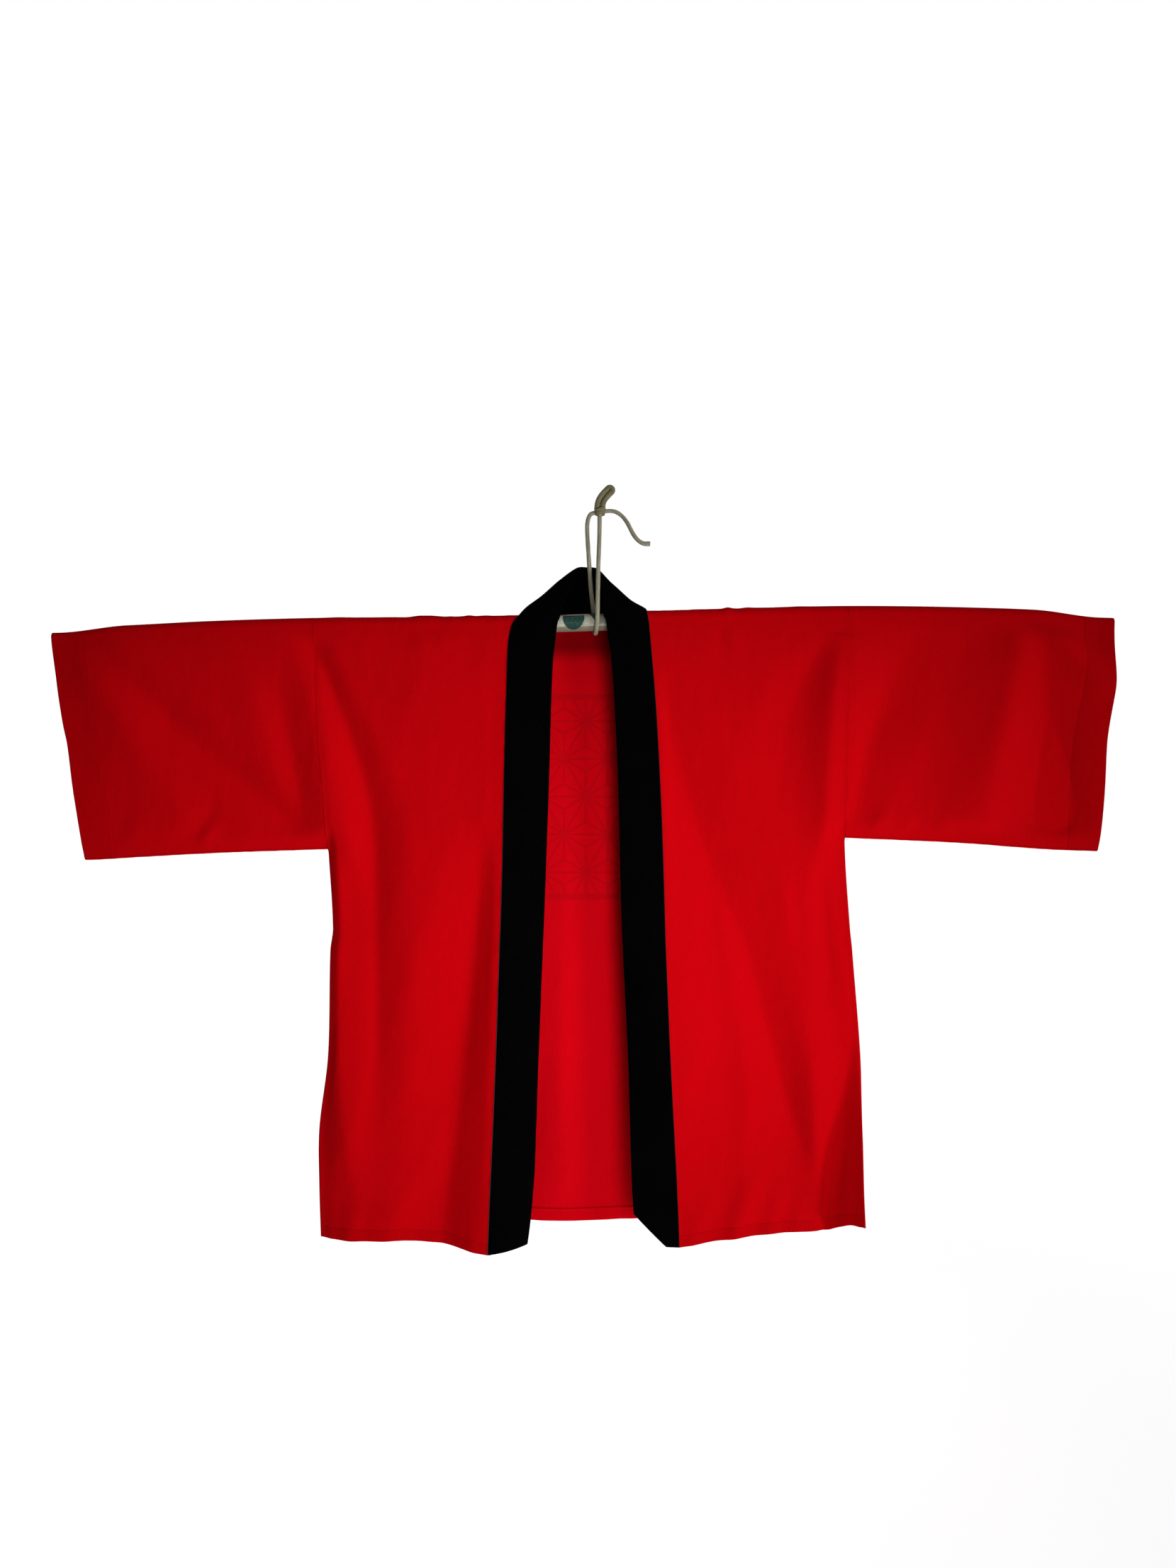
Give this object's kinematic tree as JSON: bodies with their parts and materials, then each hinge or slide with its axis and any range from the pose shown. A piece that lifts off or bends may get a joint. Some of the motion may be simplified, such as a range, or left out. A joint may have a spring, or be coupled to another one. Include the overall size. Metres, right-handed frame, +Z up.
{
  "type": "happi coat on a hanging rod",
  "caption": "Straight-cut cotton happi coat with wide square sleeves and a contrasting collar band, hung from a round rod on a looped cord.",
  "frame": {"origin": "inside top of the small cord loop that rod and coat hang by", "axes": "+X towards the wearer's left along the rod, +Y towards the wearer's back, +Z up; the coat's front faces -Y"},
  "size_m": [1.2944, 0.0825, 0.9261],
  "materials": {
    "red_cotton": "matt plain-weave cotton",
    "black_cotton": "matt plain-weave cotton, folded double",
    "rod_paper": "round rod wrapped in printed paper",
    "cord_cotton": "braided cotton cord"
  },
  "bodies": {
    "root": {"back": "red_cotton", "front_right": "red_cotton", "front_left": "red_cotton", "sleeve_right": "red_cotton", "sleeve_left": "red_cotton", "collar": "black_cotton", "hanging_rod": "rod_paper", "cord_sling": "cord_cotton", "cord_top_loop": "cord_cotton", "cord_tail": "cord_cotton", "cord_knot": "cord_cotton"}
  },
  "joints": []
}
